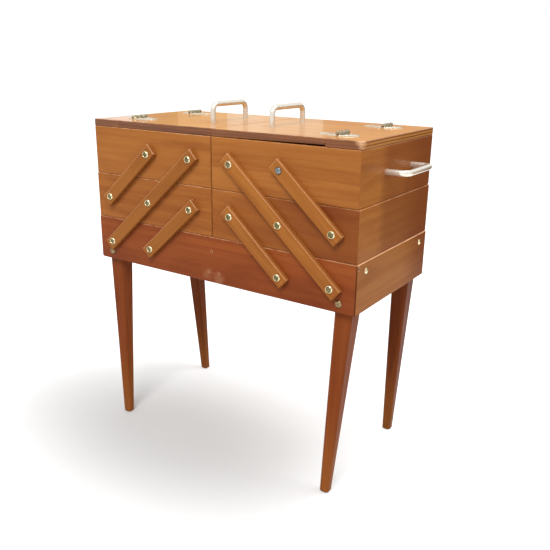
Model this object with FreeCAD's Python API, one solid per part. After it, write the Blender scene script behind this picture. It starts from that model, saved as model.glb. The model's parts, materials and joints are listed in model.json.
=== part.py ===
import FreeCAD, Part
import math
import os

os.makedirs("parts", exist_ok=True)

# A cantilever sewing box on four tapered legs. Two half-width trays stand on each side of one long
# base box, and wooden arms on the front and back carry them up and outwards when the box is opened.
# Millimetres. The origin is on the floor under the middle of the box, +X runs along the long side
# to the right, +Y to the back and +Z up. Everything is built on the right and mirrored to the left.

# The box
box_width = 440.0           # over the base's end boards
box_depth = 211.5
leg_height = 264.0          # floor to the underside of the base
base_height = 65.0
mid_height = 66.0
top_height = 68.0
rail_thickness = 10.0       # the fixed strip at each end of the top
board = 8.0                 # thickness of every side board
tier_gap = 0.3              # from one tier's rim to the tray that stands on it
middle_gap = 1.0            # between the left and the right trays
tray_setback = 1.0          # each tray's outer end stands this far inside the tier below
edge_flat = 0.8             # chamfer on every board and arm
turned_sides = 12           # flats drawn round screws, rods and knuckles, inside their true radius
worn_round = 4.5            # the underside of the base's left end is rubbed rounder

# Bottoms, let into grooves
panel_thickness = 4.0
panel_recess = 5.0          # from the boards' lower edge to the panel
groove_depth = 3.0
divider_thickness = 5.0
divider_height = 36.0

# Legs
leg_top = 25.0
leg_foot = 12.8
foot_in = 19.5              # along X, from the post's outer face to the foot's
left_foot_less = 2.5        # a left foot stands in by this much less
foot_out = 7.5              # along Y, the foot's outer face stands this far out from the post's
leg_edge = 2.5              # cut off each corner of a leg
foot_flat = 2.0             # chamfer round the sole
post_below_rim = 6.0        # the post ends this far under the base's rim

# Linkage: three columns and three rows of pivots on each half of the front and of the back
inner_column = 34.4         # from the box's middle to the innermost pivots
end_margin = 33.2           # from the box's end to the outermost pivots
row_spread = 1.6            # the lowest and highest rows stand this far outside their tiers' middles
arm_width = 18.0
arm_thickness = 7.0
arm_overhang = 12.0         # wood past the last pivot
arm_play = 0.3              # beside the arm, to the boards and to the cup washers
pivot_clearance = 0.08      # radial, from the screw to the arm's bore

# Wood screws, which taper to a point in the piece that they hold to
shank_radius = 2.0
cup_radius = 5.3            # a pivot screw and its cup washer, turned as one
cup_rim_radius = 4.4
cup_height = 2.0
leg_head_radius = 4.8
leg_head_flat = 2.8
leg_head_height = 2.0
leg_screw_bite = 14.0       # into the leg's post
leg_screw_from_edge = 12.0  # up from the base's lower edge in front, down from its rim at the ends
leg_screw_to_middle = 2.75  # from the post's middle, towards the box's middle
screw_cover = 1.2           # wood left past a pivot screw's point
screw_room = 0.02           # all round a screw in its hole

# Lids
rail_width = 48.5           # from the top tray's outer end to the split
lid_side_gap = 0.6          # along the split
lid_gap_at_hinge = {"left": 0.4, "right": 2.4}
lid_gap_at_middle = 0.3

# Hinges
hinge_from_edge = 43.5      # from the front or back of the top to each hinge's middle
hinge_length = 28.0
knuckle_radius = 2.6
knuckle_lift = 0.3          # under the barrel
knuckle_gap = 0.2           # along the pin, between knuckles
leaf_thickness = 1.2
leaf_tip_width = 11.0
leaf_tip_cut = 3.0
lid_leaf_length = 32.0
rail_leaf_length = 22.0
pin_radius = 1.0
pin_clearance = 0.05

# Handles, bent from rod
handle_span = 76.0
handle_reach = 25.0         # from the lid to the rod's middle
end_handle_reach = 27.0
rod_radius = 3.5
bend_radius = 9.0
bend_steps = 4
lid_handle_from_middle = 50.0

# Worked out from the sizes above
half_width = box_width / 2
half_depth = box_depth / 2
base_low = leg_height
base_rim = base_low + base_height
mid_low = base_rim + tier_gap
mid_rim = mid_low + mid_height
top_low = mid_rim + tier_gap
top_rim = top_low + top_height
top_face = top_rim + rail_thickness
tray_inner = middle_gap / 2
mid_outer = half_width - tray_setback
top_outer = mid_outer - tray_setback
split = top_outer - rail_width

column_pitch = (half_width - end_margin - inner_column) / 2
columns = {"inner": inner_column, "middle": inner_column + column_pitch, "outer": inner_column + 2 * column_pitch}
base_row = (base_low + base_rim) / 2 - row_spread
top_row = (top_low + top_rim) / 2 + row_spread
rows = {"low": base_row, "middle": (base_row + top_row) / 2, "high": top_row}
row_pitch = rows["middle"] - rows["low"]
arm_angle = math.degrees(math.atan2(row_pitch, column_pitch))
arm_swing = 180 - 2 * arm_angle         # the trays end level with where they began

# Every pivot by its column and row, and the tier that its screw is driven into
long_arm = [("outer", "low"), ("middle", "middle"), ("inner", "high")]
lower_arm = [("middle", "low"), ("inner", "middle")]
upper_arm = [("outer", "middle"), ("middle", "high")]
pivots = {"base": [("outer", "low"), ("middle", "low")],
          "mid": [("outer", "middle"), ("middle", "middle"), ("inner", "middle")],
          "top": [("middle", "high"), ("inner", "high")]}

arm_inner_y = half_depth + arm_play
arm_outer_y = arm_inner_y + arm_thickness
cup_seat_y = arm_outer_y + arm_play

hinge_y = half_depth - hinge_from_edge
hinge_x = split - lid_side_gap / 2
hinge_z = top_face + knuckle_lift + knuckle_radius

sides = {"left": -1, "right": 1}
faces = {"front": -1, "back": 1}

TO_FRONT = FreeCAD.Rotation(FreeCAD.Vector(1, 0, 0), 90)      # local +Z turned to -Y
TO_RIGHT = FreeCAD.Rotation(FreeCAD.Vector(0, 1, 0), 90)      # local +Z turned to +X
UPRIGHT = FreeCAD.Rotation()


def point(x, y, z):
    return FreeCAD.Vector(x, y, z)


def box(x0, x1, y0, y1, z0, z1):
    return Part.makeBox(x1 - x0, y1 - y0, z1 - z0, point(x0, y0, z0))


def prism(outline, height):
    """A flat outline of points, closed and extruded along a vector."""
    wire = Part.makePolygon(outline + [outline[0]])
    return Part.Face(wire).extrude(height)


def placed(shape, rotation, position):
    moved = shape.copy()
    moved.Placement = FreeCAD.Placement(position, rotation).multiply(shape.Placement)
    return moved


def mirrored(shape, across):
    return shape.mirror(point(0, 0, 0), across)


def on_side(shape, side):
    """A shape built on the right, put on the side it is for."""
    return shape if sides[side] > 0 else mirrored(shape, point(1, 0, 0))


def on_face(shape, face):
    """A shape built on the front, put on the face it is for."""
    return shape if faces[face] < 0 else mirrored(shape, point(0, 1, 0))


def front_and_back(shapes):
    return [on_face(shape, face) for face in faces for shape in shapes]


def on_corners(shapes):
    return [on_side(shape, side) for side in sides for shape in front_and_back(shapes)]


def flat_face(corners):
    """A flat face, or nothing where all the corners are one point."""
    corners = [corner for i, corner in enumerate(corners) if not corner.isEqual(corners[i - 1], 1e-6)]
    return [Part.Face(Part.makePolygon(corners + corners[:1]))] if corners else []


def stacked(sections):
    """A solid through sections with equally many corners, whose sides between two sections are flat."""
    skin = flat_face(sections[0]) + flat_face(sections[-1])
    for low, high in zip(sections, sections[1:]):
        for i in range(len(low)):
            skin += flat_face([low[i - 1], low[i], high[i], high[i - 1]])
    solid = Part.Solid(Part.Shell(skin))
    return solid if solid.Volume > 0 else solid.reversed()


def ring(radius, height=0):
    turn = 2 * math.pi / turned_sides
    return [point(radius * math.cos(i * turn), radius * math.sin(i * turn), height) for i in range(turned_sides)]


def turned(radii_and_heights):
    return stacked([ring(radius, height) for radius, height in radii_and_heights])


def tapered_rod(straight, taper, room=0):
    """A screw's shank below its head, straight and then down to a point. Room makes it the hole."""
    radius = shank_radius + room
    return [(radius, 0), (radius, -straight), (0, -straight - taper - room)]


def drilled(shape, holes):
    for hole in holes:
        shape = shape.cut(hole)
    return shape


def eased_box(x0, x1, y0, y1, z0, z1):
    blank = box(x0, x1, y0, y1, z0, z1)
    return blank.makeChamfer(edge_flat, blank.Edges)


# Boxes: four boards mitred at the corners, round a bottom panel let into a groove

def mitred_box(x0, x1, z0, z1, worn=0):
    """Boards of one tier, named by where they stand, and the bottom panel."""
    y0, y1 = -half_depth, half_depth
    blank = eased_box(x0, x1, y0, y1, z0, z1)
    if worn:
        corner = box(x0, x0 + worn, y0, y1, z0, z0 + worn)
        kept = Part.makeCylinder(worn, y1 - y0, point(x0 + worn, y0, z0 + worn), point(0, 1, 0))
        blank = blank.cut(corner.cut(kept))
    let_in = board - groove_depth
    panel_z = z0 + panel_recess
    panel = box(x0 + let_in, x1 - let_in, y0 + let_in, y1 - let_in, panel_z, panel_z + panel_thickness)
    walls = blank.cut(box(x0 + board, x1 - board, y0 + board, y1 - board, z0, z1)).cut(panel)
    outer = [(x0, y0), (x1, y0), (x1, y1), (x0, y1)]
    inner = [(x0 + board, y0 + board), (x1 - board, y0 + board), (x1 - board, y1 - board), (x0 + board, y1 - board)]
    boards = {}
    for i, name in enumerate(["front", "right", "back", "left"]):
        k = (i + 1) % 4
        plan = [outer[i], outer[k], inner[k], inner[i]]
        boards[name] = walls.common(prism([point(x, y, z0) for x, y in plan], point(0, 0, z1 - z0)))
    return boards, panel


# Pivots: on the front right, a screw through a cup washer and an arm into the board behind

def pivot_position(pivot, y):
    column, row = pivot
    return point(columns[column], y, rows[row])


def at_pivots(tier, outline):
    """An outline turned about each pivot of one tier, out from where its cup washer lies."""
    return [placed(turned(outline), TO_FRONT, pivot_position(pivot, -cup_seat_y)) for pivot in pivots[tier]]


pivot_straight = cup_seat_y - half_depth
pivot_taper = board - screw_cover


def pivot_holes(tier):
    return at_pivots(tier, tapered_rod(pivot_straight, pivot_taper, screw_room))


def pivot_screws(tier):
    cup = [(cup_rim_radius, cup_height), (cup_radius, 0)]
    return at_pivots(tier, cup + tapered_rod(pivot_straight, pivot_taper))


def arm(ends):
    """A front right arm through the pivots named, which lie on one line."""
    low, high = [pivot_position(p, -arm_outer_y) for p in (ends[0], ends[-1])]
    span = high - low
    bar = eased_box(-arm_overhang, span.Length + arm_overhang, 0, arm_thickness, -arm_width / 2, arm_width / 2)
    lean = FreeCAD.Rotation(point(0, 1, 0), -math.degrees(math.atan2(span.z, span.x)))
    bores = [Part.makeCylinder(shank_radius + pivot_clearance, arm_thickness, pivot_position(pivot, -arm_outer_y),
                               point(0, 1, 0)) for pivot in ends]
    return drilled(placed(bar, lean, low), bores)


# Legs: a square post inside the base's corner, and below it a taper that leans to the foot

def leg_section(inset, size, outer_x, outer_y, z):
    """A square with its corners cut off, drawn in by an inset. Its outer corner is at the front right."""
    near, far, end = inset + leg_edge, size - inset - leg_edge, size - inset
    steps = [(near, inset), (far, inset), (end, near), (end, far), (far, end), (near, end), (inset, far), (inset, near)]
    return [point(outer_x - i, k - outer_y, z) for i, k in steps]


post_x = half_width - board
post_y = half_depth - board
foot_x = {"left": post_x - foot_in + left_foot_less, "right": post_x - foot_in}
foot_y = post_y + foot_out
leg_screw_x = post_x - leg_top / 2 - leg_screw_to_middle
leg_screw_y = post_y - leg_top / 2 - leg_screw_to_middle


def at_leg(outline):
    """An outline turned about the front right leg's two screws, out from where their heads lie."""
    return [placed(turned(outline), TO_FRONT, point(leg_screw_x, -half_depth, base_low + leg_screw_from_edge)),
            placed(turned(outline), TO_RIGHT, point(half_width, -leg_screw_y, base_rim - leg_screw_from_edge))]


def leg_screw_holes():
    return at_leg(tapered_rod(board, leg_screw_bite, screw_room))


def leg_screws():
    head = [(leg_head_flat, leg_head_height), (leg_head_radius, 0)]
    return at_leg(head + tapered_rod(board, leg_screw_bite))


def leg(side):
    """A side's front leg, built on the right."""
    sections = [leg_section(foot_flat, leg_foot, foot_x[side], foot_y, 0),
                leg_section(0, leg_foot, foot_x[side], foot_y, foot_flat),
                leg_section(0, leg_top, post_x, post_y, base_low),
                leg_section(0, leg_top, post_x, post_y, base_rim - post_below_rim)]
    return drilled(stacked(sections), leg_screw_holes())


# Hinges, on the right: a bored knuckle on the lid's leaf turns on the pin between the rail leaf's two

third = (hinge_length - 2 * knuckle_gap) / 3


def barrel(length, radius):
    """A turned rod on the pin's line, about the hinge's middle."""
    return placed(turned([(radius, length / 2), (radius, -length / 2)]), TO_FRONT, point(0, 0, 0))


def beside(length):
    """Room on the pin's line for a knuckle of the other leaf."""
    reach = knuckle_radius + knuckle_lift
    return box(-reach, reach, -length / 2, length / 2, -2 * reach, 2 * reach)


def leaf(length, direction):
    """A leaf in plan that narrows from the pin's line to an end with its corners cut off."""
    end, cut = leaf_tip_width / 2, leaf_tip_cut
    corners = [(0, -hinge_length / 2), (length - cut, -end), (length, cut - end), (length, end - cut),
               (length - cut, end), (0, hinge_length / 2)]
    return prism([point(direction * x, y, top_face - hinge_z) for x, y in corners], point(0, 0, leaf_thickness))


def lid_leaf():
    plate = leaf(lid_leaf_length, -1).cut(beside(hinge_length).cut(beside(third)))
    bore = Part.makeCylinder(pin_radius + pin_clearance, third, point(0, -third / 2, 0), point(0, 1, 0))
    return plate.fuse(barrel(third, knuckle_radius)).cut(bore)


def rail_leaf():
    """The rail's leaf, and the pin that is fixed in its knuckles."""
    gap = beside(third + 2 * knuckle_gap)
    knuckles = leaf(rail_leaf_length, 1).fuse(barrel(hinge_length, knuckle_radius)).cut(gap)
    return knuckles.fuse(barrel(hinge_length, pin_radius))


def hinges(piece):
    """A piece made about the pin, on the right, put at both hinges."""
    return [placed(piece, UPRIGHT, point(hinge_x, y, hinge_z)) for y in (-hinge_y, hinge_y)]


# Handles, bent from rod, standing on z = 0 with their feet along Y

def handle(reach):
    foot = [corner + point(0, -handle_span / 2, 0) for corner in ring(rod_radius)]
    centre = point(0, bend_radius - handle_span / 2, reach - bend_radius)
    half = [foot]
    for step in range(bend_steps + 1):
        bend = FreeCAD.Rotation(point(1, 0, 0), -90 * step / bend_steps)
        half.append([centre + bend.multVec(corner - point(0, centre.y, 0)) for corner in foot])
    return stacked(half + [[point(c.x, -c.y, c.z) for c in section] for section in reversed(half)])


# Tiers. The base is built whole, and everything else on the right.

def base_pieces():
    boards, panel = mitred_box(-half_width, half_width, base_low, base_rim, worn_round)
    holes = on_corners(pivot_holes("base") + leg_screw_holes())
    boards = {name: drilled(shape, holes) for name, shape in boards.items()}
    notch = box(post_x - leg_top, half_width, -half_depth, leg_top - post_y, base_low, base_rim)
    return {"base_front_board": [boards["front"]],
            "base_back_board": [boards["back"]],
            "base_end_boards": [boards["left"], boards["right"]],
            "base_bottom": [drilled(panel, on_corners([notch]))],
            "base_pivot_screws": on_corners(pivot_screws("base")),
            "leg_screws": on_corners(leg_screws())}


def tray_pieces(tier, outer, z0, z1):
    boards, panel = mitred_box(tray_inner, outer, z0, z1)
    holes = front_and_back(pivot_holes(tier))
    return {f"{tier}_front_board": [drilled(boards["front"], holes)],
            f"{tier}_back_board": [drilled(boards["back"], holes)],
            f"{tier}_inner_board": [boards["left"]],
            f"{tier}_outer_board": [boards["right"]],
            f"{tier}_bottom": [panel],
            f"{tier}_pivot_screws": front_and_back(pivot_screws(tier))}


def divider():
    """A board across the middle of the top tray, standing on its bottom."""
    middle = (tray_inner + top_outer) / 2
    floor = top_low + panel_recess + panel_thickness
    inside = half_depth - board
    return eased_box(middle - divider_thickness / 2, middle + divider_thickness / 2, -inside, inside,
                     floor, floor + divider_height)


def lid_panel(gap_at_hinge):
    """A panel whose underside slopes up from the middle of the box to the hinge."""
    high_end = split - lid_side_gap
    corners = [(tray_inner, top_face), (high_end, top_face), (high_end, top_rim + gap_at_hinge),
               (tray_inner, top_rim + lid_gap_at_middle)]
    panel = prism([point(x, -half_depth, z) for x, z in corners], point(0, box_depth, 0))
    return panel.makeChamfer(edge_flat, panel.Edges)


def top_pieces(side):
    """What stands on or in one side's top tray, and its lid."""
    return {"top_divider": [divider()],
            "end_handle": [placed(handle(end_handle_reach), TO_RIGHT, point(top_outer, 0, top_row))],
            "hinge_rail": [eased_box(split, top_outer, -half_depth, half_depth, top_rim, top_face)],
            "rail_leaves": hinges(rail_leaf()),
            "lid_leaves": hinges(lid_leaf()),
            "lid_panel": [lid_panel(lid_gap_at_hinge[side])],
            "lid_handle": [placed(handle(handle_reach), UPRIGHT, point(lid_handle_from_middle, 0, top_face))]}


def arms():
    named = {"long_arm": long_arm, "lower_arm": lower_arm, "upper_arm": upper_arm}
    return {f"{name}_{face}": [on_face(arm(ends), face)] for name, ends in named.items() for face in faces}


nodes = base_pieces()
for side in sides:
    for face in faces:
        nodes[f"leg_{face}_{side}"] = [on_side(on_face(leg(side), face), side)]
    for pieces in (tray_pieces("mid", mid_outer, mid_low, mid_rim), tray_pieces("top", top_outer, top_low, top_rim),
                   top_pieces(side), arms()):
        for name, solids in pieces.items():
            nodes[f"{side}_{name}"] = [on_side(solid, side) for solid in solids]

for name, solids in nodes.items():
    shape = solids[0] if len(solids) == 1 else Part.makeCompound(solids)
    shape.exportStep(f"parts/{name}.step")

print(len(nodes), "nodes,", sum(len(solids) for solids in nodes.values()), "solids")
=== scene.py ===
import bpy
import json
import math
import random
from mathutils import Matrix, Vector

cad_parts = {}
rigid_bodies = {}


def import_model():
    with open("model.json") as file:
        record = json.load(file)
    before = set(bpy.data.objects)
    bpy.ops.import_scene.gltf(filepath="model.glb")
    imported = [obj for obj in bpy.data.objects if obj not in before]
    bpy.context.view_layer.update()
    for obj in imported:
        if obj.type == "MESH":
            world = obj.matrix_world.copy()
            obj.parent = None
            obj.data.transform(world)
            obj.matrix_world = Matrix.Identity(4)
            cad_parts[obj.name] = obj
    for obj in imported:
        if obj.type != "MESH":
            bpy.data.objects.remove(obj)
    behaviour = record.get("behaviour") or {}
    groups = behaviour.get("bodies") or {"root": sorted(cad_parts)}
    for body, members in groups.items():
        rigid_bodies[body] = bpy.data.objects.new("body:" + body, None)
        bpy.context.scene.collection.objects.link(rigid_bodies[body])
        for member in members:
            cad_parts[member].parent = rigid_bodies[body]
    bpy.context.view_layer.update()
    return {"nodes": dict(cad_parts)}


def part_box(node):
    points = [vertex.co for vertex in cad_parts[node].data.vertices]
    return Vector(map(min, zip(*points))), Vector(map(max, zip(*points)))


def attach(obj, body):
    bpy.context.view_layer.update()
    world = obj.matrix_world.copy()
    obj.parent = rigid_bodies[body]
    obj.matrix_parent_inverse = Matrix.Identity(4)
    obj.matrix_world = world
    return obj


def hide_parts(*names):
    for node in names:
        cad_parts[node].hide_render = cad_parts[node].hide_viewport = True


bpy.ops.object.select_all(action="SELECT")
bpy.ops.object.delete()
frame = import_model()
nodes = frame["nodes"]
sides = {"left": -1, "right": 1}  # and the way each half lies along X
print("frame loaded:", len(nodes), "nodes")


# Camera, a little above the lids and off the right front corner
camera = {
    "place": (0.5548, -0.7838, 0.5621),
    "yaw": 0.596, "pitch": 0.314, "roll": 0.012,  # radians
    "lens": 43.6, "sensor": 36.0,
    "shift": (0.0096, -0.0033),
}


def addCamera():
    yaw, pitch, roll = camera["yaw"], camera["pitch"], camera["roll"]
    ahead = Vector((-math.sin(yaw) * math.cos(pitch), math.cos(yaw) * math.cos(pitch), -math.sin(pitch)))
    level = Vector((math.cos(yaw), math.sin(yaw), 0))
    upright = level.cross(ahead)
    across = math.cos(roll) * level + math.sin(roll) * upright
    up = math.cos(roll) * upright - math.sin(roll) * level
    turn = Matrix((across, up, -ahead)).transposed().to_4x4()
    bpy.ops.object.camera_add()
    eye = bpy.context.object
    eye.name = "studioCamera"
    eye.matrix_world = Matrix.Translation(camera["place"]) @ turn
    eye.data.lens = camera["lens"]
    eye.data.sensor_width = camera["sensor"]
    eye.data.shift_x, eye.data.shift_y = camera["shift"]
    bpy.context.scene.camera = eye
    print("camera set")


addCamera()


# Node helpers
def linear(part):  # undoes a screen's curve, for 0 to 255
    return ((part / 255 + 0.055) / 1.055) ** 2.4 if part > 10 else part / 255 / 12.92


def paint(red, green, blue):  # a colour as a paint chart gives it, made linear
    return tuple(linear(part) for part in (red, green, blue)) + (1,)


def addNode(tree, kind, settings=None, **inputs):  # i0, i1 and so on are sockets by number
    node = tree.nodes.new("ShaderNode" + kind)
    for key, value in (settings or {}).items():
        setattr(node, key, value)
    for key, value in inputs.items():
        socket = node.inputs[int(key[1:])] if key[1:].isdigit() else node.inputs[key.replace("_", " ")]
        if isinstance(value, bpy.types.NodeSocket):
            tree.links.new(value, socket)
        else:
            socket.default_value = value
    return node


def noise(tree, vector, scale, detail, rough, twist=0.0):
    node = addNode(tree, "TexNoise", None, Vector=vector, Scale=scale, Detail=detail, Roughness=rough,
                   Distortion=twist)
    return node.outputs["Fac"]


def sums(tree, what, first, second=0.0, third=0.0):
    return addNode(tree, "Math", {"operation": what}, i0=first, i1=second, i2=third).outputs[0]


def between(tree, value, low, high, lowOut=0.0, highOut=1.0, way="SMOOTHSTEP"):
    node = addNode(tree, "MapRange", {"interpolation_type": way}, Value=value, From_Min=low, From_Max=high,
                   To_Min=lowOut, To_Max=highOut)
    return node.outputs["Result"]


def blend(tree, factor, first, second):
    node = addNode(tree, "Mix", {"data_type": "RGBA"}, i0=factor, i6=first, i7=second)
    return node.outputs[2]


def mapped(tree, vector, turn=(0, 0, 0), stretch=(1, 1, 1), shift=(0, 0, 0)):
    node = addNode(tree, "Mapping", None, Vector=vector, Rotation=turn, Scale=stretch, Location=shift)
    return node.outputs["Vector"]


def axesOf(tree, vector):
    return dict(zip("xyz", addNode(tree, "SeparateXYZ", None, Vector=vector).outputs))


def distanceTo(tree, spot, centre):
    node = addNode(tree, "VectorMath", {"operation": "DISTANCE"}, i0=spot, i1=centre)
    return node.outputs["Value"]


def band(tree, value, low, high, soft):  # 1 between two values
    rise = between(tree, value, low - soft, low + soft)
    return sums(tree, "MULTIPLY", rise, between(tree, value, high + soft, high - soft))


def newMaterial(name):
    material = bpy.data.materials.new(name)
    material.use_nodes = True
    tree = material.node_tree
    return material, tree, tree.nodes["Principled BSDF"]


def dress(material, *names):
    for name in names:
        nodes[name].material_slots[0].material = material


# Varnished wood. The grain runs along X once the pattern is turned.
quarter = math.pi / 2
alongX, alongY, alongZ = (0, 0, 0), (0, 0, quarter), (0, quarter, 0)

wood = {
    "streaks": ((3.0, 110.0, 110.0), 4.0, 0.6, 0.4),  # per metre along and across, detail, roughness, twist
    "figure": ((2.6, 17.0, 17.0), 5.0, 0.62, 1.6),
    "pores": ((70.0, 1600.0, 1600.0), 2.0, 0.5, 0.0),
    "patches": (7.0, 2.0, 0.5), "ragged": (60.0, 6.0, 0.7),  # per metre, detail, roughness
    "streakRange": (0.3, 0.7), "figureRange": (0.44, 0.68),
    "patchRange": (0.35, 0.7), "poreRange": (0.56, 0.72),
    "patchAmount": 0.35, "poreAmount": 0.3,
    "fadeWander": 0.4,  # of the fade's length
    "rubSoft": (0.015, 0.005), "rubRagged": 0.03,
    "holeRing": (1.9, 1.3), "holeRingAmount": 0.35,  # times the hole's size
    "jointSoft": 0.0002,
    # painted highlight: faces and edges that face up are painted paler, partly wear and partly where light
    # from above falls
    "rimUp": (0.45, 0.65), "rimRagged": (0.3, 0.6), "edgeUp": (-0.05, 0.3), "edgeRagged": (0.42, 0.62),
    "edgeTurn": (0.995, 0.93), "edgeSamples": 6,  # how far a soft edge turns from its face, as a cosine
    "bump": 0.25, "bumpDepth": 0.0001, "poreBump": 0.6,
    "roughRange": (0.2, 0.8), "roughSpread": (0.05, -0.03), "wornRough": 0.2,
    "worn": paint(232, 178, 134),
    "joint": paint(58, 26, 14),
}
usualLook = {
    "shift": (0, 0, 0), "fades": [], "rubbed": [], "holes": [], "joints": [],
    "figure": 0.55, "edgeWidth": 0.0014, "edge": 0.35, "edgeLeast": 0.0, "rim": 0.8, "rimLeast": 0.25,
    "rough": 0.36, "coat": 0.04, "coatRough": 0.12, "specular": 0.07,
}
plywood = {  # edges of the lids and the hinge rails
    "count": 5.0, "lift": 0.0005,
    "waveStretch": (1, 1, 0.1), "waves": (16.0, 3.0, 0.5), "waveHeight": 0.0011,
    "lineRange": (0.12, 0.4), "lineAmount": 0.55,
    "onEnd": (0.6, 0.8), "onEdge": (0.9, 0.8),
    "dark": paint(104, 56, 26), "pale": paint(190, 124, 62), "long": paint(158, 96, 50),
}
tones = {  # colours of the varnish on each part of the box
    "top": {"pale": paint(183, 116, 55), "dark": paint(167, 100, 46), "deep": paint(140, 75, 32)},
    "mid": {"pale": paint(176, 108, 50), "dark": paint(160, 93, 41), "deep": paint(134, 68, 29)},
    "base": {"pale": paint(160, 84, 38), "dark": paint(143, 70, 31), "deep": paint(114, 48, 22)},
    "arm": {"pale": paint(184, 116, 52), "dark": paint(168, 100, 42), "deep": paint(142, 76, 30)},
    "leg": {"pale": paint(148, 76, 34), "dark": paint(132, 62, 26), "deep": paint(100, 42, 18)},
    "lid": {"pale": paint(206, 146, 74), "dark": paint(194, 130, 60), "deep": paint(170, 102, 44)},
    "bare": {"pale": paint(208, 164, 112), "dark": paint(192, 146, 94), "deep": paint(164, 116, 68)},
}
darkRed, golden = paint(112, 48, 22), paint(186, 120, 56)


def woodNoises(tree, spot, look):
    turned = mapped(tree, spot, turn=look["grain"], shift=look["shift"])
    made = {"patches": noise(tree, turned, *wood["patches"]), "ragged": noise(tree, spot, *wood["ragged"])}
    for name in ("streaks", "figure", "pores"):
        stretch, detail, rough, twist = wood[name]
        made[name] = noise(tree, mapped(tree, turned, stretch=stretch), 1.0, detail, rough, twist)
    return made


def grainTone(tree, look, noises):
    tone = blend(tree, between(tree, noises["streaks"], *wood["streakRange"]), look["dark"], look["pale"])
    figure = between(tree, noises["figure"], *wood["figureRange"], 0.0, look["figure"])
    tone = blend(tree, figure, tone, look["deep"])
    patches = between(tree, noises["patches"], *wood["patchRange"], 0.0, wood["patchAmount"])
    tone = blend(tree, patches, tone, look["pale"])
    pores = between(tree, noises["pores"], *wood["poreRange"], 0.0, wood["poreAmount"])
    return blend(tree, pores, tone, look["deep"])


def faded(tree, tone, look, at, noises):  # towards another colour along an axis
    for axis, start, end, amount, colour in look["fades"]:
        spread = wood["fadeWander"] * abs(end - start)
        wander = sums(tree, "MULTIPLY_ADD", noises["patches"], spread, -spread / 2)
        along = sums(tree, "ADD", at[axis], wander)
        tone = blend(tree, between(tree, along, start, end, 0.0, amount), tone, colour)
    return tone


def plyEdges(tree, tone, look, spot, at, faces, noises):  # clear lines at the ends, faint ones elsewhere
    low, high = look["plies"]
    waves = noise(tree, mapped(tree, spot, stretch=plywood["waveStretch"]), *plywood["waves"])
    height = sums(tree, "ADD", at["z"], sums(tree, "MULTIPLY", waves, plywood["waveHeight"]))
    low, high = low + plywood["lift"], high + plywood["lift"]
    level = between(tree, height, low, high, 0.0, plywood["count"], "LINEAR")
    lines = between(tree, sums(tree, "PINGPONG", level, 1.0), *plywood["lineRange"])
    endEdge = blend(tree, lines, plywood["dark"], plywood["pale"])
    streaks = between(tree, noises["streaks"], *wood["streakRange"])
    longEdge = blend(tree, streaks, plywood["dark"], plywood["long"])
    faint = between(tree, lines, 0.0, 1.0, plywood["lineAmount"], 0.0)
    longEdge = blend(tree, faint, longEdge, plywood["dark"])
    onEnd = between(tree, sums(tree, "ABSOLUTE", faces["x"]), *plywood["onEnd"])
    onEdge = between(tree, sums(tree, "ABSOLUTE", faces["z"]), *plywood["onEdge"])
    return blend(tree, onEdge, tone, blend(tree, onEnd, longEdge, endEdge))


def marked(tree, tone, look, spot, at, noises):  # rubbed spots, nail holes and opened joints
    for centre, reach, amount in look["rubbed"]:
        uneven = sums(tree, "MULTIPLY", noises["ragged"], wood["rubRagged"])
        away = sums(tree, "ADD", distanceTo(tree, spot, centre), uneven)
        far, near = (reach + soft for soft in wood["rubSoft"])
        tone = blend(tree, between(tree, away, far, near, 0.0, amount), tone, wood["worn"])
    for centre, size in look["holes"]:
        away = distanceTo(tree, spot, centre)
        far, near = (size * ring for ring in wood["holeRing"])
        tone = blend(tree, between(tree, away, far, near, 0.0, wood["holeRingAmount"]), tone, wood["worn"])
        tone = blend(tree, between(tree, away, size, size / 2), tone, wood["joint"])
    for axis, low, high in look["joints"]:
        tone = blend(tree, band(tree, at[axis], low, high, wood["jointSoft"]), tone, wood["joint"])
    return tone


def edgeMask(tree, eased):  # 1 on every edge and 0 on flat faces
    flat = addNode(tree, "NewGeometry").outputs["Normal"]
    same = addNode(tree, "VectorMath", {"operation": "DOT_PRODUCT"}, i0=eased, i1=flat).outputs["Value"]
    return between(tree, same, *wood["edgeTurn"])


def wearAndHighlightMask(tree, look, eased, faces, ragged):  # where the varnish has gone, and painted highlight: rims and edges that face up are painted paler, as where light from above falls
    rim = between(tree, faces["z"], *wood["rimUp"])
    rim = sums(tree, "MULTIPLY", rim, between(tree, ragged, *wood["rimRagged"], look["rimLeast"], 1.0))
    rim = sums(tree, "MULTIPLY", rim, look["rim"])
    patchy = between(tree, ragged, *wood["edgeRagged"], look["edgeLeast"], look["edge"])
    above = between(tree, axesOf(tree, eased)["z"], *wood["edgeUp"])
    edges = sums(tree, "MULTIPLY", edgeMask(tree, eased), sums(tree, "MULTIPLY", patchy, above))
    return sums(tree, "MAXIMUM", rim, edges)


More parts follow.
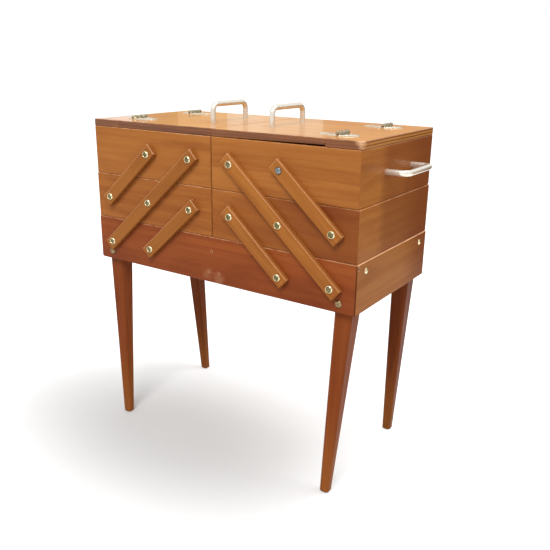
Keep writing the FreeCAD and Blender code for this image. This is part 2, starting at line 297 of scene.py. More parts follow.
def woodFinish(name, look):
    material, tree, shader = newMaterial(name)
    places = addNode(tree, "TexCoord").outputs
    spot = places["Object"]
    at, faces = axesOf(tree, spot), axesOf(tree, places["Normal"])
    noises = woodNoises(tree, spot, look)
    eased = addNode(tree, "Bevel", {"samples": wood["edgeSamples"]}, Radius=look["edgeWidth"]).outputs[0]

    tone = faded(tree, grainTone(tree, look, noises), look, at, noises)
    if "plies" in look:
        tone = plyEdges(tree, tone, look, spot, at, faces, noises)
    tone = marked(tree, tone, look, spot, at, noises)
    # the pale colour is partly wear and partly painted highlight on what faces up
    worn = wearAndHighlightMask(tree, look, eased, faces, noises["ragged"])
    tree.links.new(blend(tree, worn, tone, wood["worn"]), shader.inputs["Base Color"])

    dull, glossy = (look["rough"] + spread for spread in wood["roughSpread"])
    rough = between(tree, noises["streaks"], *wood["roughRange"], dull, glossy)
    rough = sums(tree, "ADD", rough, sums(tree, "MULTIPLY", worn, wood["wornRough"]))
    tree.links.new(rough, shader.inputs["Roughness"])
    height = sums(tree, "ADD", noises["streaks"], sums(tree, "MULTIPLY", noises["pores"], wood["poreBump"]))
    bumps = addNode(tree, "Bump", None, Strength=wood["bump"], Distance=wood["bumpDepth"], Height=height,
                    Normal=eased)
    tree.links.new(bumps.outputs["Normal"], shader.inputs["Normal"])
    shader.inputs["Coat Weight"].default_value = look["coat"]
    shader.inputs["Coat Roughness"].default_value = look["coatRough"]
    shader.inputs["Specular IOR Level"].default_value = look["specular"]
    return material


# paintedShade darkens every tone of the look: painted shade, for parts drawn darker as if out of the light
def woodLook(tone, grain, paintedShade=1.0, **more):
    paintedShadeTones = {name: tuple(paintedShade * part for part in colour[:3]) + (1,) for name, colour in tones[tone].items()}
    return {**usualLook, **paintedShadeTones, "grain": grain, **more}


def varnish(name, look, *nodeNames):
    dress(woodFinish(name, look), *nodeNames)


def slid(start, step, number):  # so that no two boards show the same stretch of grain
    return tuple(first + number * more for first, more in zip(start, step))


# Base: marks are in metres, and the last values say how far each reaches and how strong it is
baseWood = {
    "front": {"rim": 0.55, "rimLeast": 0.1}, "frontRedderWithPaintedShade": 0.35,  # downwards, partly the varnish's own tone and partly painted shade
    "nails": [(-0.0015, 0.0445), (-0.0065, 0.0143), (0.0115, 0.0147)],  # from the middle, and up
    "nailSize": 0.0014,
    "rubbed": [(-0.009, 0.014, 0.011, 0.12), (0.012, 0.008, 0.010, 0.15)],  # from the middle, and up
    "chips": [(-0.001, 0.001, 0.002, 0.6), (0.0187, 0.0, 0.004, 0.6), (-0.013, 0.0, 0.002, 0.5)],  # and down
    "cornerChip": (0.004, 0.003, 0.7),  # in from the right end
    "frontJoint": (0.0011, 0.0003),  # a seam that has opened, in from the right end
    "back": {"shift": (0.7, 0.2, 0)},
    # painted shade and reflection: the end boards are painted darker, and dark red towards the back
    "end": {"paintedShade": 0.93, "shift": (0.3, 0.1, 0), "rim": 1.0, "rimLeast": 0.7, "specular": 0.03,
            "coat": 0.02, "fades": [("y", 0.02, 0.1, 0.6, darkRed)]},
    "endHole": (0.0035, 0.005, 0.0022),  # back from the front, down, and its size
    "endChip": (0.003, 0.003, 0.9),  # back from the front
    "endJoint": (0.0002, 0.0006),  # the same seam, back from the front
}


def dressBase():
    values = baseWood
    low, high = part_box("base_front_board")
    front, right, bottom, top = low.y, high.x, low.z, high.z

    holes = [((across, front, bottom + up), values["nailSize"]) for across, up in values["nails"]]
    rubbed = [((across, front, bottom + up), reach, amount) for across, up, reach, amount in values["rubbed"]]
    chips = [((across, front, top - down), reach, amount) for across, down, reach, amount in values["chips"]]
    inwards, reach, amount = values["cornerChip"]
    rubbed += chips + [((right - inwards, front, top), reach, amount)]
    far, near = values["frontJoint"]
    frontLook = woodLook("base", alongX, holes=holes, rubbed=rubbed,
                         fades=[("z", top, bottom, values["frontRedderWithPaintedShade"], darkRed)],
                         joints=[("x", right - far, right - near)], **values["front"])
    varnish("baseFrontVarnish", frontLook, "base_front_board")
    varnish("baseBackVarnish", woodLook("base", alongX, **values["back"]), "base_back_board")

    inwards, down, size = values["endHole"]
    holes = [((right, front + inwards, top - down), size)]
    inwards, reach, amount = values["endChip"]
    rubbed = [((right, front + inwards, top), reach, amount)]
    near, far = values["endJoint"]
    endLook = woodLook("top", alongY, holes=holes, rubbed=rubbed, joints=[("y", front + near, front + far)],
                       **values["end"])
    varnish("baseEndVarnish", endLook, "base_end_boards")


# Trays
trayWood = {
    "shift": ((0.2, 0.0, 0.05), (0.37, 0.13, 0.0)),  # and the step from side to side
    "rim": {"left": 0.7, "right": 0.3}, "rimLeast": 0.15,
    "figure": {"left": 0.55, "right": 0.8},
    "redder": {"mid": 0.55, "top": 0.1}, "redderTo": 0.2,  # the right half's long boards, outwards
    # painted reflection: the end boards stay golden at the front and turn dark red towards the back
    "endPaintedReflection": [("y", -0.06, -0.03, 0.45, darkRed), ("y", 0.0, 0.09, 0.5, darkRed)],
    "endSpecular": 0.05,
    "bare": {"rough": 0.55, "rim": 0.0},  # bottoms and dividers
}


def dressTrays():
    values = trayWood
    barePanels = [f"{side}_{tier}_bottom" for side in sides for tier in ("mid", "top")]
    dividers = [f"{side}_top_divider" for side in sides]
    varnish("barePly", woodLook("bare", alongX, **values["bare"]), "base_bottom", *barePanels, *dividers)
    for number, side in enumerate(sides):
        shared = {"shift": slid(*values["shift"], number), "rim": values["rim"][side],
                  "rimLeast": values["rimLeast"]}
        for tier in ("mid", "top"):
            fades, endTone = [], tier
            if side == "right":
                fades, endTone = [("x", 0.0, values["redderTo"], values["redder"][tier], darkRed)], "top"
            longLook = woodLook(tier, alongX, fades=fades, figure=values["figure"][side], **shared)
            # painted reflection: the right half's end boards take the top's paler tones, and all end boards
            # darken towards the back
            endLook = woodLook(endTone, alongY, fades=values["endPaintedReflection"], specular=values["endSpecular"],
                               **shared)
            varnish(f"{side}{tier.title()}LongVarnish", longLook, f"{side}_{tier}_front_board",
                    f"{side}_{tier}_back_board")
            varnish(f"{side}{tier.title()}EndVarnish", endLook, f"{side}_{tier}_inner_board",
                    f"{side}_{tier}_outer_board")


# Lids and hinge rails: plywood under a thick gloss
lidWood = {
    "shiny": {"coat": 0.5, "coatRough": 0.06, "rough": 0.3, "specular": 0.1, "rim": 0.0},
    "lidShift": ((0, 0.4, 0), (0.5, 0, 0)), "railShift": ((0, 0.1, 0), (0.2, 0, 0)),
    "cornerWear": (0.012, 0.85),  # at the right rail's front corner
    "hingeWear": (-0.178, -0.07, 0.028, 0.45),  # beside the left rail's front hinge
}


def dressLids():
    low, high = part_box("right_hinge_rail")
    shared = {**lidWood["shiny"], "plies": (low.z, high.z)}
    for number, side in enumerate(sides):
        lidLook = woodLook("lid", alongX, shift=slid(*lidWood["lidShift"], number), **shared)
        varnish(f"{side}LidVarnish", lidLook, f"{side}_lid_panel")
        low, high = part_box(f"{side}_hinge_rail")
        if side == "right":
            bare = [((high.x, low.y, high.z), *lidWood["cornerWear"])]
        else:
            across, along, reach, amount = lidWood["hingeWear"]
            bare = [((across, along, high.z), reach, amount)]
        railLook = woodLook("lid", alongX, shift=slid(*lidWood["railShift"], number), rubbed=bare, **shared)
        varnish(f"{side}RailVarnish", railLook, f"{side}_hinge_rail")


# Arms and legs
armWood = {
    # painted shade: the left arms are painted darker than the right ones
    "paintedShade": {"left": 0.84, "right": 0.95},
    "shiftPerSide": (0, 0.3, 0), "shiftPerArm": (0.11, 0, 0.02),
    # painted highlight: the arms' upper edges are painted pale nearly all along, partly wear and partly where
    # light from above catches them
    "edgeWearAndHighlight": {"edge": 1.0, "edgeLeast": 0.7, "rim": 0.0},
}
legWood = {
    # painted shade: the back legs are painted darker than the front ones
    "paintedShade": {"front": 0.95, "back": 0.75},
    "shift": ((0, 0.09, 0), (0.17, 0, 0)),
    "varnish": {"specular": 0.04, "edge": 0.5, "edgeWidth": 0.0025, "fades": [("z", 0.14, 0.0, 0.3, golden)]},
    "footWear": (0.19, -0.1, 0.004, 0.6),  # across, along, reach and strength
}


def dressArms(side, face, number):
    sideShift = slid((0, 0, 0), armWood["shiftPerSide"], number)
    for count, arm in enumerate(("long_arm", "lower_arm", "upper_arm")):
        low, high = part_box(f"{side}_{arm}_{face}")
        lean = sides[side] * math.atan2(high.z - low.z, high.x - low.x)
        look = woodLook("arm", (0, -lean, 0), paintedShade=armWood["paintedShade"][side],
                        shift=slid(sideShift, armWood["shiftPerArm"], count), **armWood["edgeWearAndHighlight"])
        varnish(f"{side}{face.title()}Arm{count}Varnish", look, f"{side}_{arm}_{face}")


def dressLeg(side, face, number):
    across, along, reach, amount = legWood["footWear"]
    rubbed = [((sides[side] * across, along, 0.0), reach, amount)] if face == "front" else []
    look = woodLook("leg", alongZ, paintedShade=legWood["paintedShade"][face], shift=slid(*legWood["shift"], number),
                    rubbed=rubbed, **legWood["varnish"])
    varnish(f"{side}{face.title()}LegVarnish", look, f"leg_{face}_{side}")


dressBase()
dressTrays()
dressLids()
for number, side in enumerate(sides):
    for face in ("front", "back"):
        dressArms(side, face, number)
        dressLeg(side, face, number)
print("wood dressed")


# Metal
metals = {
    "handleChrome": {"colour": paint(228, 223, 210), "rough": 0.22, "metallic": 0.75,
                     "stain": paint(206, 196, 176), "stained": 0.25, "scale": 90.0},
    "hingeNickel": {"colour": paint(232, 226, 208), "rough": 0.24,
                    "stain": paint(186, 170, 136), "stained": 0.5, "scale": 260.0},
    "cupBrass": {"colour": paint(226, 214, 176), "rough": 0.2,
                 "stain": paint(160, 140, 96), "stained": 0.5, "scale": 700.0},
    "screwBrass": {"colour": paint(122, 114, 80), "rough": 0.28,
                   "stain": paint(56, 48, 32), "stained": 0.7, "scale": 900.0},
    "panSteel": {"colour": paint(128, 134, 136), "rough": 0.22,
                 "stain": paint(60, 62, 62), "stained": 0.6, "scale": 700.0},
    # painted shade: the knuckles are painted darker than the leaves, for the shadow along each knuckle
    "knuckleNickelPaintedDark": {"colour": paint(178, 168, 142), "rough": 0.16,
                      "stain": paint(96, 84, 62), "stained": 0.7, "scale": 500.0},
    "legScrewBronze": {"colour": paint(150, 130, 96), "rough": 0.28,
                       "stain": paint(70, 56, 40), "stained": 0.6, "scale": 700.0},
}
metalMarks = {
    "detail": 4.0, "raggedness": 0.6,
    "stainRange": (0.45, 0.7), "roughRange": (0.3, 0.7), "roughSpread": 0.08,
}


def metalFinish(name, look):
    material, tree, shader = newMaterial(name)
    spot = addNode(tree, "TexCoord").outputs["Object"]
    marks = noise(tree, spot, look["scale"], metalMarks["detail"], metalMarks["raggedness"])
    stains = between(tree, marks, *metalMarks["stainRange"], 0.0, look["stained"])
    tree.links.new(blend(tree, stains, look["colour"], look["stain"]), shader.inputs["Base Color"])
    dull = look["rough"] + metalMarks["roughSpread"]
    rough = between(tree, marks, *metalMarks["roughRange"], look["rough"], dull)
    tree.links.new(rough, shader.inputs["Roughness"])
    shader.inputs["Metallic"].default_value = look.get("metallic", 1.0)
    return material


metal = {name: metalFinish(name, look) for name, look in metals.items()}
for name in nodes:
    for kind, finish in (("handle", "handleChrome"), ("leaves", "hingeNickel"), ("screws", "cupBrass")):
        if kind in name:
            dress(metal[finish], name)
print("metal dressed")


# Modelling helpers. Everything is picked by where it is or the way it faces.
millimetre = 0.001
slightly = 0.00001
squarely = 0.9  # a face looks along an axis when its normal goes this far that way
smoothAngle = math.radians(35)


def choose(*pieces):  # selects these alone, in object mode, and makes the first one active
    if bpy.context.mode != "OBJECT":
        bpy.ops.object.mode_set(mode="OBJECT")
    bpy.ops.object.select_all(action="DESELECT")
    for piece in pieces:
        piece.select_set(True)
    bpy.context.view_layer.objects.active = pieces[0]


def pick(piece, test=lambda face: True, points=False):  # goes to edit mode with what passes the test selected
    choose(piece)
    bpy.ops.object.mode_set(mode="EDIT")
    bpy.ops.mesh.select_mode(type="VERT" if points else "FACE")
    bpy.ops.mesh.select_all(action="DESELECT")
    bpy.ops.object.mode_set(mode="OBJECT")
    for part in piece.data.vertices if points else piece.data.polygons:
        part.select = test(part)
    bpy.ops.object.mode_set(mode="EDIT")


def extrude(y=0.0, z=0.0):
    bpy.ops.mesh.extrude_region_move(TRANSFORM_OT_translate={"value": (0, y, z)})


def settled(piece, name):  # its place and turn go into its mesh
    choose(piece)
    bpy.ops.object.transform_apply(location=True, rotation=True, scale=True)
    piece.name = piece.data.name = name
    return piece


def smoothed(piece, material, angle=smoothAngle):
    choose(piece)
    bpy.ops.object.mode_set(mode="EDIT")
    bpy.ops.mesh.select_all(action="SELECT")
    bpy.ops.mesh.normals_make_consistent(inside=False)
    bpy.ops.object.mode_set(mode="OBJECT")
    bpy.ops.object.shade_smooth_by_angle(angle=angle)
    piece.data.materials.append(material)
    return piece


def copied(piece, place, turn=(0, 0, 0)):
    choose(piece)
    bpy.ops.object.duplicate(linked=False)
    copy = bpy.context.object
    copy.rotation_mode = "XYZ"
    copy.location, copy.rotation_euler = place, turn
    return settled(copy, piece.name + "Copy")


def joined(name, pieces):
    choose(*pieces)
    if len(pieces) > 1:
        bpy.ops.object.join()
    piece = bpy.context.object
    piece.name = piece.data.name = name
    return piece


def remove(*pieces):
    choose(*pieces)
    bpy.ops.object.delete()


def turnedForm(name, rings, around, material):  # rings of radius and height in millimetres, about Z
    radius, height = (size * millimetre for size in rings[0])
    bpy.ops.object.select_all(action="DESELECT")
    bpy.ops.mesh.primitive_circle_add(vertices=around, radius=radius, location=(0, 0, height),
                                      fill_type="NGON")
    piece = settled(bpy.context.object, name)
    pick(piece)
    for ring in rings[1:]:
        nextRadius, nextHeight = (size * millimetre for size in ring)
        extrude(z=nextHeight - height)
        ratio = nextRadius / radius
        bpy.ops.transform.resize(value=(ratio, ratio, 1), center_override=(0, 0, nextHeight))
        radius, height = nextRadius, nextHeight
    return smoothed(piece, material)


def slotted(piece, slot):  # cuts a slot across the top, along X: its length, width and depth in millimetres
    length, width, depth = (size * millimetre for size in slot)
    top = max(point.co.z for point in piece.data.vertices)
    bpy.ops.object.select_all(action="DESELECT")
    bpy.ops.mesh.primitive_cube_add(size=1, location=(0, 0, top), scale=(length, width, 2 * depth))
    cutter = settled(bpy.context.object, "slotCutter")
    choose(piece)
    bpy.ops.object.modifier_add(type="BOOLEAN")
    modifier = piece.modifiers[-1]
    modifier.object, modifier.operation, modifier.solver = cutter, "DIFFERENCE", "EXACT"
    bpy.ops.object.modifier_apply(modifier=modifier.name)
    remove(cutter)
    choose(piece)
    bpy.ops.object.shade_smooth_by_angle(angle=smoothAngle)
    return piece


facing = {  # turns about X and about Y that lay a piece standing on Z against a face
    "front": (quarter, 0), "back": (-quarter, 0), "right": (0, quarter), "left": (0, -quarter),
    "down": (2 * quarter, 0),
}


def turnTo(way, spin=0.0):  # spun about itself first
    aboutX, aboutY = facing[way]
    turn = Matrix.Rotation(aboutY, 3, "Y") @ Matrix.Rotation(aboutX, 3, "X") @ Matrix.Rotation(spin, 3, "Z")
    return turn.to_euler("XYZ")


shuffle = random.Random(4)


def anySpin():
    return shuffle.uniform(0, math.pi)


# Pivot screws: an oval slotted head in a cup washer, in millimetres
pivotScrew = {
    "cup": [(5.3, -0.3), (5.3, 0.3), (5.0, 1.0), (4.6, 1.6), (4.2, 1.95), (3.9, 1.95), (3.6, 1.6),
            (3.3, 0.9)],
    "head": [(3.2, 0.7), (3.25, 1.2), (3.0, 1.75), (2.4, 2.2), (1.5, 2.5), (0.6, 2.6)],
    "pan": [(4.4, -0.3), (4.6, 0.5), (4.3, 1.4), (3.4, 2.3), (2.0, 2.9), (0.8, 3.1)],
    "around": {"cup": 32, "head": 28, "pan": 28},
    "slot": {"head": (10.0, 0.9, 0.9), "pan": (12.0, 0.9, 0.9)},
    "columns": {"inner": 34.4, "middle": 110.6, "outer": 186.8},
    "rows": {"low": 294.9, "middle": 363.05, "high": 431.2},
    "base": [("outer", "low"), ("middle", "low")],
    "mid": [("inner", "middle"), ("middle", "middle"), ("outer", "middle")],
    "top": [("inner", "high"), ("middle", "high")],
    "noCup": ("right", "front", "middle", "high"),
}


def pivotPattern(kind, material):
    values = pivotScrew
    piece = turnedForm(f"{kind}Pattern", values[kind], values["around"][kind], material)
    return slotted(piece, values["slot"][kind]) if kind in values["slot"] else piece


def pivots():  # side, face of the box, tier and place of each, and whether it has no cup
    values = pivotScrew
    for side, sign in sides.items():
        for way, end in (("front", 0), ("back", 1)):
            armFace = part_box(f"{side}_long_arm_{way}")[end].y
            for tier in ("base", "mid", "top"):
                for column, row in values[tier]:
                    across = sign * values["columns"][column] * millimetre
                    place = (across, armFace, values["rows"][row] * millimetre)
                    yield side, way, tier, place, (side, way, column, row) == values["noCup"]


def addPivotScrews():
    cup = pivotPattern("cup", metal["cupBrass"])
    head = pivotPattern("head", metal["screwBrass"])
    pan = pivotPattern("pan", metal["panSteel"])
    made = {}
    for side, way, tier, place, noCup in pivots():
        owner = ("base", "base_pivot_screws", "basePivotScrews")
        if tier != "base":
            start = f"{side}_{tier}"
            owner = (f"{start}_tray", f"{start}_pivot_screws", f"{side}{tier.title()}PivotScrews")
        turn = turnTo(way, anySpin())
        copies = [copied(part, place, turn) for part in ([pan] if noCup else [cup, head])]
        made.setdefault(owner, []).extend(copies)
    for (body, nodeName, name), copies in made.items():
        piece = joined(name, copies)
        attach(piece, body)
        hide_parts(nodeName)
    remove(cup, head, pan)
    print("pivot screws made")


# Leg screws, in millimetres
legScrew = {
    "front": [(4.6, -0.4), (4.8, 0.3), (4.5, 1.1), (3.6, 1.8), (2.2, 2.25), (0.8, 2.4)],
    "end": [(3.6, -0.4), (3.8, 0.2), (3.4, 0.9), (2.4, 1.4), (1.0, 1.7)],
    "around": 28,
    "frontSlot": (12.0, 1.0, 0.9), "endSlot": (10.0, 1.0, 0.9),
    "acrossFront": 196.75, "frontHeight": 276.0,
    "alongEnd": 82.5, "endHeight": 317.0,
}


def addLegScrews():
    values = legScrew
    large = turnedForm("legHeadPattern", values["front"], values["around"], metal["legScrewBronze"])
    small = turnedForm("endHeadPattern", values["end"], values["around"], metal["cupBrass"])
    slotted(large, values["frontSlot"])
    slotted(small, values["endSlot"])
    faces = {"front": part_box("base_front_board")[0].y, "back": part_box("base_back_board")[1].y}
    ends = {"left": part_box("base_end_boards")[0].x, "right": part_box("base_end_boards")[1].x}
    copies = []
    for side, sign in sides.items():
        for way, face in faces.items():
            place = (sign * values["acrossFront"] * millimetre, face, values["frontHeight"] * millimetre)
            copies.append(copied(large, place, turnTo(way, anySpin())))
        for along in (-1, 1):
            place = (ends[side], along * values["alongEnd"] * millimetre, values["endHeight"] * millimetre)
            copies.append(copied(small, place, turnTo(side, anySpin())))
    piece = joined("legScrewHeads", copies)
    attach(piece, "base")
    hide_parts("leg_screws")
    remove(large, small)
    print("leg screws made")


# Handles, bent from one round rod, in metres, and the screws that hold them from inside
handleRod = {
    "span": 0.076, "lidReach": 0.025, "endReach": 0.027, "radius": 0.0038, "bend": 0.009,
    "around": 24, "bendSteps": 8, "smoothAngle": math.radians(50),
}
handleScrew = {
    "head": [(3.8, -0.4), (4.0, 0.2), (3.5, 1.0), (2.3, 1.5), (0.9, 1.7)],
    "around": 24, "slot": (10.0, 0.9, 0.8),  # millimetres
    "gapUnderLid": {"free": 0.0003, "left": 0.0004, "right": 0.0024},  # metres, the last two at the hinges
}


def bentRod(reach, name):
    values = handleRod
    half, rise = values["span"] / 2, reach - values["bend"]
    bpy.ops.object.select_all(action="DESELECT")
    bpy.ops.mesh.primitive_circle_add(vertices=values["around"], radius=values["radius"],
                                      location=(0, -half, 0), fill_type="NGON")
    rod = settled(bpy.context.object, name)
    pick(rod)
    extrude(z=rise)
    bend = {"steps": values["bendSteps"], "angle": quarter, "axis": (1, 0, 0)}
    bpy.ops.mesh.spin(center=(0, values["bend"] - half, rise), **bend)
    extrude(y=values["span"] - 2 * values["bend"])
    bpy.ops.mesh.spin(center=(0, half - values["bend"], rise), **bend)
    extrude(z=-rise)
    return smoothed(rod, metal["handleChrome"], values["smoothAngle"])


def addHandles():
    lidRod = bentRod(handleRod["lidReach"], "lidRodPattern")
    endRod = bentRod(handleRod["endReach"], "endRodPattern")
    for side, sign in sides.items():
        low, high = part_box(f"{side}_lid_handle")
        middle = (low + high) / 2
        piece = copied(lidRod, (middle.x, middle.y, low.z))
        piece.name = f"{side}LidHandleRod"
        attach(piece, f"{side}_lid")
        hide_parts(f"{side}_lid_handle")
        low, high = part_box(f"{side}_end_handle")
        foot = low.x if sign > 0 else high.x
        piece = copied(endRod, (foot, 0, (low.z + high.z) / 2), turnTo(side))
        piece.name = f"{side}EndHandleRod"
        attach(piece, f"{side}_top_tray")
        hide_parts(f"{side}_end_handle")
    remove(lidRod, endRod)
    print("handles made")


def underLid(side, sign):  # below the handle's middle, on the lid's sloping underside
    gaps = handleScrew["gapUnderLid"]
    low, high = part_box(f"{side}_lid_panel")
    hinged, free = (high.x, low.x) if sign > 0 else (low.x, high.x)
    low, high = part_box(f"{side}_lid_handle")
    across = (low.x + high.x) / 2
    rise = (gaps[side] - gaps["free"]) * abs((across - free) / (hinged - free))
    return Vector((across, 0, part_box(f"{side}_top_front_board")[1].z + gaps["free"] + rise))


def insideEnd(side, sign):  # behind the end handle's middle, on the inner face of the outer board
    low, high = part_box(f"{side}_top_outer_board")
    inside = low.x if sign > 0 else high.x
    low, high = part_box(f"{side}_end_handle")
    return Vector((inside, 0, (low.z + high.z) / 2))


def addHandleScrews():
    values = handleScrew
    head = turnedForm("handleScrewPattern", values["head"], values["around"], metal["hingeNickel"])
    slotted(head, values["slot"])
    for side, sign in sides.items():
        inwards = "left" if sign > 0 else "right"
        for kind, body, middle, way in (("Lid", "lid", underLid(side, sign), "down"),
                                        ("End", "top_tray", insideEnd(side, sign), inwards)):
            copies = []
            for along in (-1, 1):
                place = middle + Vector((0, along * handleRod["span"] / 2, 0))
                copies.append(copied(head, place, turnTo(way, anySpin())))
            piece = joined(f"{side}{kind}HandleScrews", copies)
            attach(piece, f"{side}_{body}")
    remove(head)
    print("handle screws made")


# Hinges: tapered leaves, rolled knuckles and sunk screws, in millimetres
hinge = {
    "axis": (169.2, 476.5), "along": 62.25,
    "length": 28.0, "thickness": 1.2, "knuckle": 2.6, "gap": 0.2, "pin": 1.5, "pinEnd": 0.6,
    "lidLeaf": 32.0, "railLeaf": 22.0, "tip": 11.0, "tipRound": 4.0, "leafEdge": 0.25, "rollEdge": 0.3,
    "tipSegments": 5, "edgeSegments": 2, "rollAround": 24,
    "screws": {"lidLeaf": [(8.0, -8.0), (8.0, 8.0), (25.5, 0.0)],
               "railLeaf": [(8.0, -7.5), (8.0, 7.5), (17.0, 0.0)]},  # out from the pin, and along it
    "screwHead": [(2.3, -0.6), (2.4, 0.05), (1.9, 0.3), (1.0, 0.45)],
    "screwAround": 20, "screwSlot": (6.0, 0.6, 0.4),
}


def leafPlate(kind):  # flat on z = 0, from the pin's line towards +X
    values = hinge
    length, tip = values[kind] * millimetre, values["tip"] * millimetre
    width = values["length"] * millimetre
    bpy.ops.object.select_all(action="DESELECT")
    bpy.ops.mesh.primitive_plane_add(size=1, location=(length / 2, 0, 0))
    piece = settled(bpy.context.object, "platePattern")
    pick(piece)
    bpy.ops.transform.resize(value=(length, width, 1), center_override=(length / 2, 0, 0))
    pick(piece, lambda point: point.co.x > length - slightly, points=True)
    bpy.ops.transform.resize(value=(1, tip / width, 1), center_override=(length, 0, 0))
    bpy.ops.mesh.bevel(offset=values["tipRound"] * millimetre, segments=values["tipSegments"],
                       affect="VERTICES")
    pick(piece)
    extrude(z=values["thickness"] * millimetre)
    bpy.ops.mesh.bevel(offset=values["leafEdge"] * millimetre, segments=values["edgeSegments"],
                       affect="EDGES")
    return smoothed(piece, metal["hingeNickel"])


def rollAlong(low, high, radius):  # a roll along Y, with eased ends
    low, high, radius = (size * millimetre for size in (low, high, radius))
    bpy.ops.object.select_all(action="DESELECT")
    bpy.ops.mesh.primitive_cylinder_add(vertices=hinge["rollAround"], radius=radius, depth=high - low,
                                        rotation=(quarter, 0, 0), location=(0, (low + high) / 2, 0))
    piece = settled(bpy.context.object, "rollPattern")
    pick(piece, lambda face: abs(face.normal.y) > squarely)
    bpy.ops.mesh.bevel(offset=hinge["rollEdge"] * millimetre, segments=hinge["edgeSegments"],
                       affect="EDGES")
    return smoothed(piece, metal["knuckleNickelPaintedDark"])


def knuckles(kind):  # one in the middle for the lid's leaf, two outside it and the pin for the rail's
    values = hinge
    half, gap, radius = values["length"] / 2, values["gap"], values["knuckle"]
    third = (values["length"] - 2 * gap) / 3
    if kind == "lidLeaf":
        return [rollAlong(-third / 2, third / 2, radius)]
    pinEnd = half + values["pinEnd"]
    return [rollAlong(-half, -third / 2 - gap, radius), rollAlong(third / 2 + gap, half, radius),
            rollAlong(-pinEnd, pinEnd, values["pin"])]


def hingePair(kind, side, plate, rolls, head):  # both hinges of one lid
    values = hinge
    sign = sides[side]
    outward = sign if kind == "railLeaf" else -sign
    across, height = (size * millimetre for size in values["axis"])
    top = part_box("right_hinge_rail")[1].z
    copies = []
    for end in (-1, 1):
        along = end * values["along"] * millimetre
        copies.append(copied(plate, (sign * across, along, top), (0, 0, 0 if outward > 0 else math.pi)))
        for roll in rolls:
            copies.append(copied(roll, (sign * across, along, height)))
        for out, aside in values["screws"][kind]:
            place = (sign * across + outward * out * millimetre, along + aside * millimetre,
                     top + values["thickness"] * millimetre)
            copies.append(copied(head, place, (0, 0, anySpin())))
    return copies


def addHinges():
    values = hinge
    head = turnedForm("leafScrewPattern", values["screwHead"], values["screwAround"], metal["hingeNickel"])
    slotted(head, values["screwSlot"])
    for kind, ending, body in (("lidLeaf", "lid_leaves", "lid"), ("railLeaf", "rail_leaves", "top_tray")):
        plate, rolls = leafPlate(kind), knuckles(kind)
        for side in sides:
            copies = hingePair(kind, side, plate, rolls, head)
            piece = joined(f"{side}{kind[0].upper()}{kind[1:]}Pair", copies)
            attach(piece, f"{side}_{body}")
            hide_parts(f"{side}_{ending}")
        remove(plate, *rolls)
    remove(head)
    print("hinges made")


addPivotScrews()
addLegScrews()
addHandles()
addHandleScrews()
addHinges()


# Floor, backdrop and light
studio = {
    "floorSize": 60.0, "floorColour": 0.6,
    "glowWithPaintedShadow": {"stretch": (1.0, 1.5, 1.0), "centre": (-0.08, -0.18, 0.0),  # painted shadow: the glow is weakest here and grows away from it, so the floor is darker round the box
             "near": 0.04, "nearStrength": 0.12, "far": 0.62, "farStrength": 0.86},
    "lamps": {
        "rearKey": {"place": (0.8, 0.5, 2.5), "size": 1.0, "power": 24.0},
        "frontKey": {"place": (0.45, -1.5, 2.2), "size": 0.9, "power": 34.0},
    },
    "aim": (0, 0, 0.35),
    "cards": [  # seen only in reflections: from and to along X, distance back, lowest, highest and colour
        (0.15, 0.655, 1.0, 0.0, 0.58, (0.12, 0.05, 0.02, 1)),
        (0.655, 1.4, 1.0, 0.0, 0.58, (0.60, 0.36, 0.17, 1)),
        (-2.20, -1.95, 2.0, 0.4, 1.4, (0.55, 0.34, 0.16, 1)),
        (-1.95, -1.61, 2.0, 0.4, 1.4, (0.84, 0.55, 0.30, 1)),
        (-1.61, -1.38, 2.0, 0.4, 1.4, (1.0, 0.88, 0.72, 1)),
        (-1.38, -1.04, 2.0, 0.4, 1.4, (0.96, 0.80, 0.62, 1)),
        (-1.04, -0.30, 2.0, 0.4, 1.4, (0.66, 0.42, 0.26, 1)),
    ],
    "sky": 0.6,
}


def seenOrMirrored(tree):  # 1 for the camera's rays and for those through gloss and glass
    path = addNode(tree, "LightPath").outputs
    seen = sums(tree, "MAXIMUM", path["Is Camera Ray"], path["Is Glossy Ray"])
    return sums(tree, "MAXIMUM", seen, path["Is Transmission Ray"])


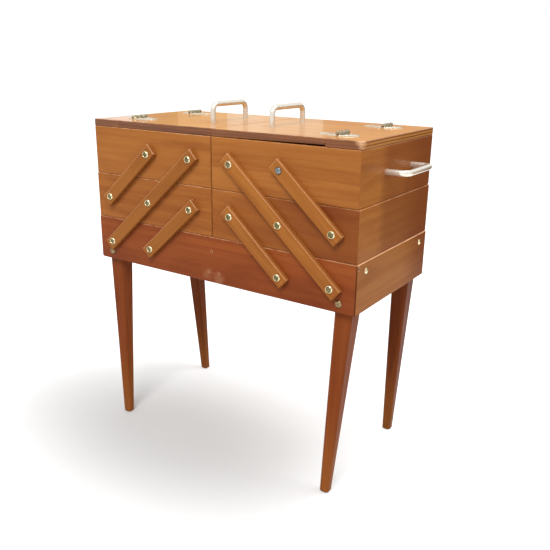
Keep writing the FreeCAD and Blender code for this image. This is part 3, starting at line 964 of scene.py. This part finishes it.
def addFloor():
    bpy.ops.object.select_all(action="DESELECT")
    bpy.ops.mesh.primitive_plane_add(size=studio["floorSize"])
    floor = bpy.context.object
    floor.name = "studioFloor"
    material, tree, shader = newMaterial("paleFloor")
    tree.nodes.remove(shader)
    glowWithPaintedShadow = studio["glowWithPaintedShadow"]
    spot = mapped(tree, addNode(tree, "TexCoord").outputs["Object"], stretch=glowWithPaintedShadow["stretch"])
    away = distanceTo(tree, spot, glowWithPaintedShadow["centre"])
    # painted shadow: the glow is weakest round the box, so the floor is darker there
    strength = between(tree, away, glowWithPaintedShadow["near"], glowWithPaintedShadow["far"], glowWithPaintedShadow["nearStrength"], glowWithPaintedShadow["farStrength"])
    strength = sums(tree, "MULTIPLY", seenOrMirrored(tree), strength)
    matt = addNode(tree, "BsdfDiffuse", None, Color=(studio["floorColour"],) * 3 + (1,))
    shine = addNode(tree, "Emission", None, Color=(1, 1, 1, 1), Strength=strength)
    both = addNode(tree, "AddShader", None, i0=matt.outputs[0], i1=shine.outputs[0])
    tree.links.new(both.outputs[0], tree.nodes["Material Output"].inputs["Surface"])
    floor.data.materials.append(material)


def addLamp(name, lamp):
    bpy.ops.object.light_add(type="AREA", location=lamp["place"])
    light = bpy.context.object
    light.name = name
    light.data.size = lamp["size"]
    light.data.energy = lamp["power"]
    way = Vector(studio["aim"]) - Vector(lamp["place"])
    light.rotation_euler = way.to_track_quat("-Z", "Y").to_euler()


def addCard(name, card):
    left, right, back, low, high, colour = card
    bpy.ops.object.select_all(action="DESELECT")
    bpy.ops.mesh.primitive_plane_add(size=1, location=((left + right) / 2, back, (low + high) / 2),
                                     rotation=(quarter, 0, 0))
    plane = bpy.context.object
    plane.name = name
    plane.scale = (right - left, high - low, 1)
    for ray in ("visible_camera", "visible_diffuse", "visible_transmission", "visible_shadow"):
        setattr(plane, ray, False)
    material, tree, shader = newMaterial(name + "Paint")
    tree.nodes.remove(shader)
    shine = addNode(tree, "Emission", None, Color=colour, Strength=1.0)
    tree.links.new(shine.outputs[0], tree.nodes["Material Output"].inputs["Surface"])
    plane.data.materials.append(material)


def addWorld():
    world = bpy.data.worlds.new("studioSky")
    bpy.context.scene.world = world
    world.use_nodes = True
    tree = world.node_tree
    background = tree.nodes["Background"]
    background.inputs["Color"].default_value = (1, 1, 1, 1)
    strength = between(tree, seenOrMirrored(tree), 0.0, 1.0, studio["sky"], 1.0, "LINEAR")
    tree.links.new(strength, background.inputs["Strength"])


addFloor()
for name, lamp in studio["lamps"].items():
    addLamp(name, lamp)
for number, card in enumerate(studio["cards"]):
    addCard(f"card{number}", card)
addWorld()
bpy.context.scene.view_settings.view_transform = "Standard"
print("studio ready")
